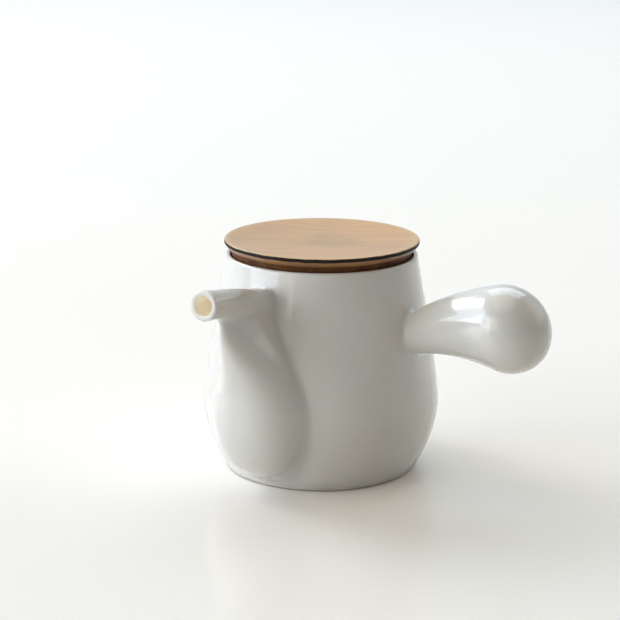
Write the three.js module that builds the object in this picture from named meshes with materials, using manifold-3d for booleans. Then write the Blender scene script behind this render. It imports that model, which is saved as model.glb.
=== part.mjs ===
// Side-handled teapot in glazed porcelain with a turned wooden lid.
// Millimetres, +Z up. The origin is on the pot's axis, on the surface that the foot stands on.
// The spout points along -Y and the handle along +X, at a right angle to it.
import * as THREE from "three";
import { mergeVertices } from "three/addons/utils/BufferGeometryUtils.js";
import Module from "manifold-3d";

// Clearance between neighbouring pieces
const SEAT_GAP = 0.3;

// Pot: outer form
const FOOT_RADIUS = 42.4;
const FOOT_EDGE_ROUNDING = 0.8;
const BELLY_RADIUS = 52.2;
const BELLY_HEIGHT = 30.2;
const POT_HEIGHT = 95.6;
const LIP_RADIUS = 42;
const LIP_TAPER = 0.17;
const FOOT_CURVE_FLARE = 2;
const FOOT_CURVE_RISE = 2.9;
const BELLY_CURVE_DROP = 13.2;
const BELLY_CURVE_RISE = 8.5;
const SHOULDER_CURVE_DROP = 27.4;

// Pot: walls, base and lid seat
const POT_WALL = 3;
const POT_FLOOR = 4;
const FLOOR_CURVE_RADIUS = 13;
const BASE_RECESS_DEPTH = 0.9;
const BASE_RECESS_SLOPE = 1.5;
const FOOT_RING_WIDTH = 3;
const LIP_WALL = 2.3;
const SEAT_DEPTH = 5;
const SEAT_WIDTH = 3;
const SEAT_THICKNESS = 2.4;
const SEAT_UNDERCUT = 5;

// Lid: upper disc
const LID_RADIUS = 42.5;
const LID_EDGE_HEIGHT = 1.7;
const LID_CREST_ROUNDING = 0.6;
const LID_CREST_WIDTH = 1.2;
const LID_DISH_DEPTH = 2;
const LID_DISH_WALL = 6;
const LID_CHAMFER_HEIGHT = 2.3;
const LID_CHAMFER_WIDTH = 1.9;

// Lid: lower disc that sits inside the lip
const PLUG_CLEARANCE = 0.4;
const PLUG_BAND_HEIGHT = 2;
const PLUG_SPIGOT_DEPTH = 5;
const PLUG_HOLLOW_DEPTH = 3;
const PLUG_RIM_WIDTH = 6;
const PLUG_CHAMFER = 0.8;

// Spout: breast-shaped pouch on the pot's wall
const POUCH_SEAT_DEPTH = 6.7;
const POUCH_FOOT_HEIGHT = 6.2;
const POUCH_BELLY_HEIGHT = 32;
const POUCH_HALF_WIDTH = 22.5;
const POUCH_BELLY_DEPTH = 19.8;
const POUCH_TAPER_HEIGHT = 92;
const POUCH_TAPER_HALF_WIDTH = 2.5;
const POUCH_THROAT_START = 43;
const POUCH_THROAT_HEIGHT = 80;
const POUCH_THROAT_DEPTH = 31.5;
const POUCH_TOP_HEIGHT = 84;
const POUCH_BLUNTNESS = 0.88;
const POUCH_WALL = 2.8;
const POUCH_ROOT_DEPTH = 6;

// Spout: neck and tip
const TIP_PROUD = 36.5;
const TIP_HEIGHT = 90;
const TIP_RADIUS = 6.3;
const TIP_ROUNDING = 0.8;
const BORE_RADIUS = 4;
const NECK_ROOT_HEIGHT = 84.6;
const NECK_ROOT_RADIUS = 2.2;
const NECK_SWELL = 0.6;
const NECK_BEND_PROUD = 10;
const NECK_BEND_HEIGHT = 87.2;
const NECK_WALL = 1.6;

// Handle: hollow club with a ball end
const BALL_RADIUS = 18.2;
const BALL_PROUD = 38.7;
const BALL_HEIGHT = 74.2;
const HANDLE_ROOT_HEIGHT = 64;
const HANDLE_ROOT_RADIUS = 7.7;
const HANDLE_BEND_PROUD = 14;
const HANDLE_BEND_HEIGHT = 74.5;
const HANDLE_BALL_LEAD = 4.2;
const HANDLE_LEAN = 0.11;
const HANDLE_WALL = 3;
const HANDLE_FLARE = 1.4;
const HANDLE_FLARE_LENGTH = 4;
const VENT_RADIUS = 1.2;
const VENT_DISTANCE = 19;

// Strainer: pierced dome inside the pot, behind the spout
const STRAINER_HEIGHT = 37;
const PORT_RADIUS = 13;
const STRAINER_LANDING = 2.2;
const STRAINER_COLLAR = 2;
const STRAINER_RISE = 6;
const STRAINER_WALL = 1.8;
const STRAINER_HOLE_RADIUS = 1;
const STRAINER_HOLE_RINGS = 3;
const STRAINER_HOLE_PITCH = 3.7;
const STRAINER_HOLES_PER_RING = 6;

// Fineness of the facets
const POT_FACETS = 56;
const LID_FACETS = 56;
const POUCH_FACETS = 34;
const POUCH_LOWER_STEPS = 7;
const POUCH_UPPER_STEPS = 9;
const NECK_FACETS = 24;
const NECK_STEPS = 7;
const HANDLE_FACETS = 24;
const HANDLE_STEPS = 10;
const BALL_STEPS = 6;
const STRAINER_FACETS = 28;
const HOLE_FACETS = 6;
const CURVE_STEPS = 6;
const ROUNDING_STEPS = 3;
const OVERCUT = 5;

const wasm = await Module();
wasm.setup();

// Heights that the lid and its seat share
const mouthRadius = LIP_RADIUS - LIP_WALL;
const seatHeight = POT_HEIGHT - SEAT_DEPTH;
const plugRadius = mouthRadius - PLUG_CLEARANCE;
const spigotRadius = mouthRadius - SEAT_WIDTH - PLUG_CLEARANCE;
const plugBottom = seatHeight + SEAT_GAP;
const plugTop = POT_HEIGHT + PLUG_BAND_HEIGHT;
const plateBottom = plugTop + SEAT_GAP;
const lidTop = plateBottom + LID_CHAMFER_HEIGHT + LID_EDGE_HEIGHT;

// Material look of each kind of piece
const porcelain = { color: 0xe9e8e4, roughness: 0.12, metalness: 0 };
const lidWood = { color: 0x9a6236, roughness: 0.42, metalness: 0 };
const plugWood = { color: 0x4a1e12, roughness: 0.38, metalness: 0 };

function point(r, z) {
  return new THREE.Vector2(r, z);
}

function curvePoints(from, fromHandle, toHandle, to) {
  return new THREE.CubicBezierCurve(from, fromHandle, toHandle, to).getPoints(CURVE_STEPS);
}

// Points of a rounding between two angles, in radians
function rounding(centre, radius, fromAngle, toAngle) {
  const points = [];
  for (let i = 0; i <= ROUNDING_STEPS; i += 1) {
    const angle = fromAngle + ((toAngle - fromAngle) * i) / ROUNDING_STEPS;
    points.push(point(centre.x + radius * Math.cos(angle), centre.y + radius * Math.sin(angle)));
  }
  return points;
}

// Turns a profile of (radius, height) points about +Z
function turned(profile, facets) {
  const geometry = new THREE.LatheGeometry(profile, facets);
  geometry.rotateX(Math.PI / 2);
  return geometry;
}

function solidOf(geometry) {
  const bare = geometry.index ? geometry.clone() : mergeVertices(geometry.clone());
  bare.deleteAttribute("normal");
  bare.deleteAttribute("uv");
  const merged = mergeVertices(bare, 1e-4);
  const kept = [];
  const index = merged.index.array;
  for (let i = 0; i < index.length; i += 3) {
    const [a, b, c] = index.slice(i, i + 3);
    if (a !== b && b !== c && c !== a) {
      kept.push(a, b, c);
    }
  }
  return new wasm.Manifold(
    new wasm.Mesh({
      numProp: 3,
      vertProperties: new Float32Array(merged.attributes.position.array),
      triVerts: new Uint32Array(kept),
    }),
  );
}

function geometryOf(solid) {
  const mesh = solid.getMesh();
  const geometry = new THREE.BufferGeometry();
  geometry.setAttribute("position", new THREE.BufferAttribute(mesh.vertProperties, mesh.numProp));
  geometry.setIndex(new THREE.BufferAttribute(mesh.triVerts, 1));
  geometry.computeVertexNormals();
  return geometry;
}

// Skins a row of closed rings with equal counts of points, and closes both ends
function lofted(rings) {
  const count = rings[0].length;
  const vertices = rings.flat().concat(rings[0][0], rings.at(-1)[0]);
  const startCentre = vertices.length - 2;
  const endCentre = vertices.length - 1;
  for (const [slot, ring] of [[startCentre, rings[0]], [endCentre, rings.at(-1)]]) {
    const centre = new THREE.Vector3();
    ring.forEach((p) => centre.addScaledVector(p, 1 / count));
    vertices[slot] = centre;
  }
  const index = [];
  for (let k = 0; k < count; k += 1) {
    const next = (k + 1) % count;
    for (let level = 0; level + 1 < rings.length; level += 1) {
      const a = level * count + k;
      const b = level * count + next;
      index.push(a, b, b + count, a, b + count, a + count);
    }
    const last = (rings.length - 1) * count;
    index.push(startCentre, next, k, endCentre, last + k, last + next);
  }
  const geometry = new THREE.BufferGeometry();
  geometry.setAttribute(
    "position",
    new THREE.Float32BufferAttribute(vertices.flatMap((p) => p.toArray()), 3),
  );
  geometry.setIndex(index);
  return geometry;
}

// Pot's outer wall, from the foot's edge up to the lip
function potWallCurve() {
  const footStart = point(FOOT_RADIUS, FOOT_EDGE_ROUNDING);
  const belly = point(BELLY_RADIUS, BELLY_HEIGHT);
  const lip = point(LIP_RADIUS, POT_HEIGHT - LIP_WALL / 2);
  const lower = curvePoints(
    footStart,
    point(FOOT_RADIUS + FOOT_CURVE_FLARE, FOOT_CURVE_RISE),
    point(BELLY_RADIUS, BELLY_HEIGHT - BELLY_CURVE_DROP),
    belly,
  );
  const upper = curvePoints(
    belly,
    point(BELLY_RADIUS, BELLY_HEIGHT + BELLY_CURVE_RISE),
    point(LIP_RADIUS + LIP_TAPER * SHOULDER_CURVE_DROP, POT_HEIGHT - SHOULDER_CURVE_DROP),
    lip,
  );
  return [...lower, ...upper.slice(1)];
}

const potWall = potWallCurve();

// Pot's outer radius at a height
function potRadiusAt(z) {
  const above = potWall.findIndex((p) => p.y >= z);
  if (above === 0) {
    return potWall[0].x;
  }
  if (above < 0) {
    return potWall.at(-1).x;
  }
  const low = potWall[above - 1];
  const high = potWall[above];
  return THREE.MathUtils.mapLinear(z, low.y, high.y, low.x, high.x);
}

// Whole form of the pot with nothing hollow, grown by a distance
function potForm(grow) {
  const outline = potWall.map((p) => point(p.x + grow, p.y));
  return solidOf(turned([point(0, -grow), point(FOOT_RADIUS + grow, -grow), ...outline,
    point(potWall.at(-1).x + grow, POT_HEIGHT + grow), point(0, POT_HEIGHT + grow)], POT_FACETS));
}

// Inner wall, from the middle of the floor up to the lid seat
function potInnerCurve(inset) {
  const floorHeight = BASE_RECESS_DEPTH + POT_FLOOR + inset;
  const bellyInside = point(BELLY_RADIUS - POT_WALL - inset, BELLY_HEIGHT);
  const corner = bellyInside.x - FLOOR_CURVE_RADIUS;
  const floorCurve = curvePoints(
    point(corner, floorHeight),
    point(corner + FLOOR_CURVE_RADIUS / 2, floorHeight),
    point(bellyInside.x, BELLY_HEIGHT - BELLY_CURVE_DROP / 2),
    bellyInside,
  );
  const seatUnder = seatHeight - SEAT_THICKNESS - SEAT_UNDERCUT;
  const wall = potWall
    .filter((p) => p.y > BELLY_HEIGHT && p.y < seatUnder)
    .map((p) => point(p.x - POT_WALL - inset, p.y));
  return [
    point(0, floorHeight),
    ...floorCurve,
    ...wall,
    point(potRadiusAt(seatUnder) - POT_WALL - inset, seatUnder),
  ];
}

function potBodyProfile() {
  const seatInner = mouthRadius - SEAT_WIDTH;
  const ringOuter = FOOT_RADIUS - FOOT_EDGE_ROUNDING;
  const ringInner = ringOuter - FOOT_RING_WIDTH;
  const lipCentre = point(LIP_RADIUS - LIP_WALL / 2, POT_HEIGHT - LIP_WALL / 2);
  const footCentre = point(ringOuter, FOOT_EDGE_ROUNDING);
  return [
    point(0, BASE_RECESS_DEPTH),
    point(ringInner - BASE_RECESS_SLOPE, BASE_RECESS_DEPTH),
    point(ringInner, 0),
    ...rounding(footCentre, FOOT_EDGE_ROUNDING, -Math.PI / 2, 0).slice(0, -1),
    ...potWall.slice(0, -1),
    ...rounding(lipCentre, LIP_WALL / 2, 0, Math.PI / 2).slice(0, -1),
    ...rounding(lipCentre, LIP_WALL / 2, Math.PI / 2, Math.PI),
    point(mouthRadius, seatHeight),
    point(seatInner, seatHeight),
    point(seatInner, seatHeight - SEAT_THICKNESS),
    ...potInnerCurve(0).reverse(),
  ];
}

function strainerPort() {
  const port = new THREE.CylinderGeometry(PORT_RADIUS, PORT_RADIUS, BELLY_RADIUS, STRAINER_FACETS);
  port.translate(0, -BELLY_RADIUS, STRAINER_HEIGHT);
  return solidOf(port);
}

function potBody() {
  return solidOf(turned(potBodyProfile(), POT_FACETS)).subtract(strainerPort());
}

// Half width and depth of the pouch at a height, with its surface set in by a distance
function pouchSize(z, inset) {
  if (z < POUCH_BELLY_HEIGHT) {
    const drop = (POUCH_BELLY_HEIGHT - z) / (POUCH_BELLY_HEIGHT - POUCH_FOOT_HEIGHT - inset);
    const share = Math.sqrt(Math.max(0, 1 - drop * drop));
    return {
      halfWidth: (POUCH_HALF_WIDTH - inset) * share,
      depth: (POUCH_BELLY_DEPTH - inset) * share,
    };
  }
  const narrowing = THREE.MathUtils.smoothstep(z, POUCH_BELLY_HEIGHT, POUCH_TAPER_HEIGHT);
  const rise = THREE.MathUtils.smoothstep(z, POUCH_THROAT_START, POUCH_THROAT_HEIGHT);
  return {
    halfWidth: THREE.MathUtils.lerp(POUCH_HALF_WIDTH, POUCH_TAPER_HALF_WIDTH, narrowing) - inset,
    depth: THREE.MathUtils.lerp(POUCH_BELLY_DEPTH, POUCH_THROAT_DEPTH, rise) - inset,
  };
}

// One level section of the pouch: blunt and deep in front of its seat, shallow behind it
function pouchRing(z, inset) {
  const seat = BELLY_RADIUS - POUCH_SEAT_DEPTH;
  const { halfWidth, depth } = pouchSize(z, inset);
  const behind = POUCH_ROOT_DEPTH + Math.max(0, seat - potRadiusAt(z));
  const blunt = (share) => Math.sign(share) * Math.abs(share) ** POUCH_BLUNTNESS;
  const ring = [];
  for (let k = 0; k < POUCH_FACETS; k += 1) {
    const angle = (2 * Math.PI * k) / POUCH_FACETS;
    const out = blunt(Math.cos(angle)) * (Math.cos(angle) > 0 ? depth : behind);
    ring.push(new THREE.Vector3(halfWidth * blunt(Math.sin(angle)), -(seat + out), z));
  }
  return ring;
}

function pouchForm(inset) {
  const rings = [];
  for (let i = 1; i < POUCH_LOWER_STEPS; i += 1) {
    const angle = ((Math.PI / 2) * i) / POUCH_LOWER_STEPS;
    const drop = (POUCH_BELLY_HEIGHT - POUCH_FOOT_HEIGHT - inset) * Math.cos(angle);
    rings.push(pouchRing(POUCH_BELLY_HEIGHT - drop, inset));
  }
  for (let i = 0; i <= POUCH_UPPER_STEPS; i += 1) {
    const z = THREE.MathUtils.lerp(POUCH_BELLY_HEIGHT, POUCH_TOP_HEIGHT, i / POUCH_UPPER_STEPS);
    rings.push(pouchRing(z, inset));
  }
  return solidOf(lofted(rings));
}

// Round sections at equal steps along a path of (reach, height) points
function stationsAlong(path, steps, radiusAt) {
  const stations = [];
  for (let i = 0; i <= steps; i += 1) {
    const share = i / steps;
    const at = path.getPointAt(share);
    stations.push({ at, along: path.getTangentAt(share), radius: radiusAt(share, at.x) });
  }
  return stations;
}

// Sections that round off the end of a swept form, from full radius down
function roundedEnd(end, along, radius, rounded, steps) {
  const stations = [];
  for (let i = 0; i <= steps; i += 1) {
    const angle = ((Math.PI / 2) * i) / steps;
    stations.push({
      at: end.clone().addScaledVector(along, rounded * (Math.sin(angle) - 1)),
      along,
      radius: Math.max(0, radius - rounded * (1 - Math.cos(angle))),
    });
  }
  return stations;
}

// Skins the sections into a form that reaches out along +X
function swept(stations, facets) {
  const rings = stations.map(({ at, along, radius }) => {
    const ring = [];
    for (let k = 0; k < facets; k += 1) {
      const angle = (2 * Math.PI * k) / facets;
      const up = radius * Math.sin(angle);
      ring.push(new THREE.Vector3(at.x - up * along.y, radius * Math.cos(angle), at.y + up * along.x));
    }
    return ring;
  });
  return solidOf(lofted(rings));
}

// Neck's middle line, from inside the pot's wall to the middle of the tip's opening
const neckPath = new THREE.QuadraticBezierCurve(
  point(potRadiusAt(NECK_ROOT_HEIGHT) - POT_WALL, NECK_ROOT_HEIGHT),
  point(BELLY_RADIUS + NECK_BEND_PROUD, NECK_BEND_HEIGHT),
  point(BELLY_RADIUS + TIP_PROUD, TIP_HEIGHT),
);

function neckForm() {
  const radiusAt = (share) => THREE.MathUtils.lerp(NECK_ROOT_RADIUS, TIP_RADIUS, share ** NECK_SWELL);
  const stations = stationsAlong(neckPath, NECK_STEPS, radiusAt).slice(0, -1);
  const tip = neckPath.getPointAt(1);
  const end = roundedEnd(tip, neckPath.getTangentAt(1), TIP_RADIUS, TIP_ROUNDING, ROUNDING_STEPS);
  return swept([...stations, ...end], NECK_FACETS).rotate([0, 0, -90]);
}

function neckBore() {
  const rootBore = NECK_ROOT_RADIUS - NECK_WALL;
  const radiusAt = (share) => THREE.MathUtils.lerp(rootBore, BORE_RADIUS, share ** NECK_SWELL);
  const stations = stationsAlong(neckPath, NECK_STEPS, radiusAt);
  const tip = stations.at(-1);
  tip.at.addScaledVector(tip.along, OVERCUT);
  return swept(stations, NECK_FACETS).rotate([0, 0, -90]);
}

function spout() {
  const outer = pouchForm(0).add(neckForm());
  const hollow = pouchForm(POUCH_WALL).add(neckBore());
  return outer.subtract(hollow).subtract(potForm(SEAT_GAP));
}

// The handle's sections lean: the form is made upright and then sheared about the ball's middle
function uprightPoint(x, z) {
  return point(x, z + HANDLE_LEAN * (x - BELLY_RADIUS - BALL_PROUD));
}

function leaned(solid) {
  const lift = HANDLE_LEAN * (BELLY_RADIUS + BALL_PROUD);
  return solid.transform([1, 0, -HANDLE_LEAN, 0, 0, 1, 0, 0, 0, 0, 1, 0, 0, 0, lift, 1]);
}

// Handle's middle line, from inside the pot's wall to the middle of the ball
const handlePath = new THREE.QuadraticBezierCurve(
  uprightPoint(potRadiusAt(HANDLE_ROOT_HEIGHT) - POT_WALL, HANDLE_ROOT_HEIGHT),
  uprightPoint(BELLY_RADIUS + HANDLE_BEND_PROUD, HANDLE_BEND_HEIGHT),
  uprightPoint(BELLY_RADIUS + BALL_PROUD, BALL_HEIGHT),
);

// Radius along the handle: a slender taper that runs smoothly into the ball
function clubRadius(distance) {
  const length = handlePath.getLength();
  const meeting = length - HANDLE_BALL_LEAD;
  if (distance > meeting) {
    return Math.sqrt(BALL_RADIUS ** 2 - (length - distance) ** 2);
  }
  const meetingRadius = Math.sqrt(BALL_RADIUS ** 2 - HANDLE_BALL_LEAD ** 2);
  const slope = HANDLE_BALL_LEAD / meetingRadius;
  const bow = (HANDLE_ROOT_RADIUS - meetingRadius + slope * meeting) / meeting ** 2;
  const back = meeting - distance;
  return meetingRadius - slope * back + bow * back * back;
}

// Club form, with a small flare against the pot
function clubForm(inset, flare) {
  const radiusAt = (share, reach) => {
    const offWall = (reach - potRadiusAt(HANDLE_ROOT_HEIGHT)) / HANDLE_FLARE_LENGTH;
    const spread = flare * THREE.MathUtils.clamp(1 - offWall, 0, 1) ** 2;
    return clubRadius(share * handlePath.getLength()) + spread - inset;
  };
  const stations = stationsAlong(handlePath, HANDLE_STEPS, radiusAt).slice(0, -1);
  const along = handlePath.getTangentAt(1);
  const radius = BALL_RADIUS - inset;
  const end = handlePath.getPointAt(1).addScaledVector(along, radius);
  return swept([...stations, ...roundedEnd(end, along, radius, radius, BALL_STEPS)], HANDLE_FACETS);
}

// Small hole in the handle's underside that lets air out of its hollow in the kiln
function handleVent() {
  const vent = new THREE.CylinderGeometry(VENT_RADIUS, VENT_RADIUS, BALL_RADIUS, HOLE_FACETS);
  vent.rotateX(Math.PI / 2);
  const above = handlePath.getPointAt(VENT_DISTANCE / handlePath.getLength());
  vent.translate(above.x, 0, above.y - BALL_RADIUS / 2);
  return solidOf(vent);
}

function handle() {
  const hollow = clubForm(HANDLE_WALL, 0);
  const club = clubForm(0, HANDLE_FLARE).subtract(hollow).subtract(handleVent());
  return leaned(club).subtract(potForm(SEAT_GAP));
}

// Strainer about its own axis, here +Z, from below its mouth up to its crown
function strainerProfile() {
  const rim = PORT_RADIUS + STRAINER_LANDING;
  const inner = rim - STRAINER_WALL;
  const crown = STRAINER_COLLAR + STRAINER_RISE;
  const outside = curvePoints(
    point(rim, STRAINER_COLLAR),
    point(rim, STRAINER_COLLAR + STRAINER_RISE / 2),
    point(rim / 2, crown),
    point(0, crown),
  );
  const inside = curvePoints(
    point(0, crown - STRAINER_WALL),
    point(inner / 2, crown - STRAINER_WALL),
    point(inner, STRAINER_COLLAR + STRAINER_RISE / 2 - STRAINER_WALL),
    point(inner, STRAINER_COLLAR),
  );
  return [point(inner, -OVERCUT), point(rim, -OVERCUT), ...outside, ...inside, point(inner, -OVERCUT)];
}

// Places of the holes: one in the middle and rings of them about it
function strainerHolePlaces() {
  const places = [point(0, 0)];
  for (let ring = 1; ring <= STRAINER_HOLE_RINGS; ring += 1) {
    const count = STRAINER_HOLES_PER_RING * ring;
    for (let k = 0; k < count; k += 1) {
      const place = point(ring * STRAINER_HOLE_PITCH, 0);
      places.push(place.rotateAround(point(0, 0), (2 * Math.PI * k) / count));
    }
  }
  return places;
}

function strainerHole(place) {
  const length = 2 * (STRAINER_COLLAR + STRAINER_RISE);
  const hole = new THREE.CylinderGeometry(
    STRAINER_HOLE_RADIUS, STRAINER_HOLE_RADIUS, length, HOLE_FACETS);
  hole.rotateX(Math.PI / 2);
  hole.translate(place.x, place.y, length / 2);
  return solidOf(hole);
}

function strainer() {
  const wallInside = potRadiusAt(STRAINER_HEIGHT) - POT_WALL;
  const rim = PORT_RADIUS + STRAINER_LANDING;
  const seat = Math.sqrt(wallInside ** 2 - rim ** 2);
  let dome = solidOf(turned(strainerProfile(), STRAINER_FACETS));
  for (const place of strainerHolePlaces()) {
    dome = dome.subtract(strainerHole(place));
  }
  const innerWall = potInnerCurve(SEAT_GAP);
  const inside = solidOf(turned([...innerWall, point(0, innerWall.at(-1).y)], POT_FACETS));
  return dome.rotate([-90, 0, 0]).translate([0, -seat, STRAINER_HEIGHT]).intersect(inside);
}

function lidPlate() {
  const crestCentre = point(LID_RADIUS - LID_CREST_ROUNDING, lidTop - LID_CREST_ROUNDING);
  const dishRadius = LID_RADIUS - LID_CREST_ROUNDING - LID_CREST_WIDTH;
  const dish = curvePoints(
    point(dishRadius, lidTop),
    point(dishRadius - LID_DISH_WALL, lidTop - LID_DISH_DEPTH / 2),
    point(dishRadius / 2, lidTop - LID_DISH_DEPTH),
    point(0, lidTop - LID_DISH_DEPTH),
  );
  const chamferTop = plateBottom + LID_CHAMFER_HEIGHT;
  return solidOf(turned([
    point(0, plateBottom),
    point(LID_RADIUS - LID_CHAMFER_WIDTH, plateBottom),
    point(LID_RADIUS, chamferTop),
    ...rounding(crestCentre, LID_CREST_ROUNDING, 0, Math.PI / 2),
    ...dish,
  ], LID_FACETS));
}

function lidPlug() {
  const spigotBottom = plugBottom - PLUG_SPIGOT_DEPTH;
  const hollowRadius = spigotRadius - PLUG_RIM_WIDTH;
  return solidOf(turned([
    point(0, spigotBottom + PLUG_HOLLOW_DEPTH),
    point(hollowRadius, spigotBottom + PLUG_HOLLOW_DEPTH),
    point(hollowRadius + PLUG_CHAMFER, spigotBottom),
    point(spigotRadius - PLUG_CHAMFER, spigotBottom),
    point(spigotRadius, spigotBottom + PLUG_CHAMFER),
    point(spigotRadius, plugBottom),
    point(plugRadius, plugBottom),
    point(plugRadius, plugTop),
    point(0, plugTop),
  ], LID_FACETS));
}

function piece(name, solid, look) {
  const mesh = new THREE.Mesh(geometryOf(solid), new THREE.MeshStandardMaterial(look));
  mesh.name = name;
  return mesh;
}

const kyusu = new THREE.Group();
kyusu.add(piece("pot_body", potBody(), porcelain));
kyusu.add(piece("spout", spout(), porcelain));
kyusu.add(piece("handle", handle(), porcelain));
kyusu.add(piece("spout_strainer", strainer(), porcelain));
kyusu.add(piece("lid_plate", lidPlate(), lidWood));
kyusu.add(piece("lid_plug", lidPlug(), plugWood));

export default kyusu;
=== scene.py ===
# Side-handled teapot in glazed porcelain with a turned wooden lid.
# Metres, in the frame of the solid model: +Z up, the spout along -Y and the handle along +X.
import math

import bpy
import numpy as np
from mathutils import Matrix, Vector


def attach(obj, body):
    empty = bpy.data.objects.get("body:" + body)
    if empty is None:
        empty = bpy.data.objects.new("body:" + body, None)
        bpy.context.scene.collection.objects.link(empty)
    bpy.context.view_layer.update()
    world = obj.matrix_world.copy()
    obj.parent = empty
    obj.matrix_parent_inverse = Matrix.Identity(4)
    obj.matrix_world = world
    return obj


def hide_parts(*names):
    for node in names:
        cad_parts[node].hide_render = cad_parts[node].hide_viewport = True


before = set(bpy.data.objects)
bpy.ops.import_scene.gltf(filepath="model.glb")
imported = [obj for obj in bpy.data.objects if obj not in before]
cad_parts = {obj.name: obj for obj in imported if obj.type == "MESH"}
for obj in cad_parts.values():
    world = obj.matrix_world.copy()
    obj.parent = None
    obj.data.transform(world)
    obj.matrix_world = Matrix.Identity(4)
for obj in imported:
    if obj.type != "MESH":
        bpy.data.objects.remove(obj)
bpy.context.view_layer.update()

# Pot: outer form
FOOT_RADIUS = 0.0424
FOOT_EDGE_ROUNDING = 0.0013
# share of the foot's rounding left unglazed, whose darker colour paints the contact shade under the foot
FOOT_BARE_AND_SHADE_SHARE = 0.6
BELLY_RADIUS = 0.0522
BELLY_HEIGHT = 0.0302
POT_HEIGHT = 0.0956
LIP_RADIUS = 0.042
LIP_TAPER = 0.17
FOOT_CURVE_FLARE = 0.002
FOOT_CURVE_RISE = 0.0029
BELLY_CURVE_DROP = 0.0132
BELLY_CURVE_RISE = 0.0085
SHOULDER_CURVE_DROP = 0.0274

# Pot: walls, base and lid seat
POT_WALL = 0.003
POT_FLOOR = 0.004
FLOOR_CURVE_RADIUS = 0.013
BASE_RECESS_DEPTH = 0.0009
BASE_RECESS_SLOPE = 0.0015
FOOT_RING_WIDTH = 0.003
LIP_WALL = 0.0023
SEAT_DEPTH = 0.005
SEAT_WIDTH = 0.003
SEAT_THICKNESS = 0.0024
SEAT_UNDERCUT = 0.005
SEAT_ROUNDING = 0.0005

# Lid: upper disc
LID_RADIUS = 0.0425
LID_EDGE_HEIGHT = 0.0017
LID_CREST_ROUNDING = 0.0006
LID_CREST_WIDTH = 0.0012
LID_DISH_DEPTH = 0.002
LID_DISH_WALL = 0.006
LID_CHAMFER_HEIGHT = 0.0023
LID_CHAMFER_WIDTH = 0.0019
LID_ARRIS = 0.00025
TURNING_RIPPLE = 0.000005
TURNING_PITCH = 0.0013

# Lid: lower disc that sits inside the lip
SEAT_GAP = 0.0003
PLUG_CLEARANCE = 0.0004
PLUG_BAND_HEIGHT = 0.002
PLUG_SPIGOT_DEPTH = 0.005
PLUG_HOLLOW_DEPTH = 0.003
PLUG_RIM_WIDTH = 0.006
PLUG_CHAMFER = 0.0008
GLUE_LINE = 0.00003

# Spout: pouch on the pot's wall
POUCH_SEAT_DEPTH = 0.0067
POUCH_FOOT_HEIGHT = 0.0062
POUCH_BELLY_HEIGHT = 0.032
POUCH_HALF_WIDTH = 0.0225
POUCH_BELLY_DEPTH = 0.0198
POUCH_TAPER_HEIGHT = 0.092
POUCH_TAPER_HALF_WIDTH = 0.0025
POUCH_THROAT_START = 0.043
POUCH_THROAT_HEIGHT = 0.080
POUCH_THROAT_DEPTH = 0.0315
POUCH_SQUARENESS = 2.27
POUCH_WALL = 0.0028

# Spout: neck and tip
TIP_PROUD = 0.0365
TIP_HEIGHT = 0.0900
TIP_RADIUS = 0.0063
TIP_ROUNDING = 0.0008
BORE_RADIUS = 0.0040
NECK_ROOT_HEIGHT = 0.0846
NECK_ROOT_RADIUS = 0.0022
NECK_SWELL = 0.6
NECK_BEND_PROUD = 0.010
NECK_BEND_HEIGHT = 0.0872
NECK_WALL = 0.0016
NECK_FILLET = 0.0045
THROAT_ROUNDING = 0.004
CREASE_FILLET_TOP = 0.0009
CREASE_FILLET_FOOT = 0.0086
CREASE_FILLET_FADE = 0.013

# Handle: hollow club with a ball end
BALL_RADIUS = 0.0182
BALL_PROUD = 0.0387
BALL_HEIGHT = 0.0742
HANDLE_ROOT_HEIGHT = 0.0640
HANDLE_ROOT_RADIUS = 0.0077
HANDLE_BEND_PROUD = 0.014
HANDLE_BEND_HEIGHT = 0.0745
HANDLE_BALL_LEAD = 0.0042
HANDLE_LEAN = 0.11
HANDLE_WALL = 0.003
HANDLE_FILLET = 0.0028
VENT_RADIUS = 0.0012
VENT_SHARE = 0.4

# Strainer: pierced dome inside the pot
STRAINER_HEIGHT = 0.037
PORT_RADIUS = 0.013
STRAINER_LANDING = 0.0022
STRAINER_COLLAR = 0.002
STRAINER_RISE = 0.006
STRAINER_WALL = 0.0018
STRAINER_FILLET = 0.0012
STRAINER_HOLE_RADIUS = 0.001
STRAINER_HOLE_RINGS = 3
STRAINER_HOLES_PER_RING = 6
STRAINER_HOLE_PITCH = 0.0037

# Painted glow in the neck's bore: emission that stands in for daylight coming through its thin wall
PAINTED_BORE_GLOW_EDGE = 0.0006
PAINTED_BORE_GLOW_DEPTH = 0.035
PAINTED_BORE_GLOW_LEVEL = 0.2

# How a luted piece's edge feathers into the pot's wall, with its reach as a share of the fillet
FEATHER_DEPTH = 0.000005
FEATHER_REACH = 1.3
SKIRT_DEPTH = 0.0022

# Lid: where its colours change, from its rim, its chamfer, its crest or its middle; the pale crest is a
# painted highlight, and the darker middle a painted reflection
CREST_HIGHLIGHT_START = 0.0036
CREST_HIGHLIGHT_FULL = 0.0012
DARK_EDGE_START = 0.00015
DARK_EDGE_FULL = 0.00045
DARK_EDGE_FADE = 0.0001
DARK_EDGE_END = 0.0002
DARK_EDGE_INNER = 0.0011
DARK_EDGE_OUTER = 0.0006
DARK_EDGE_WANDER = 0.0006
FACE_FADE = 0.0002
UNDERSIDE_INNER = 0.006
UNDERSIDE_OUTER = 0.005
# painted reflection that darkens the middle of the lid's top, with its edge wandering a little
DARK_MIDDLE_RIM = 0.040
DARK_MIDDLE_CORE = 0.016
DARK_MIDDLE_WANDER = 0.03

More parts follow.
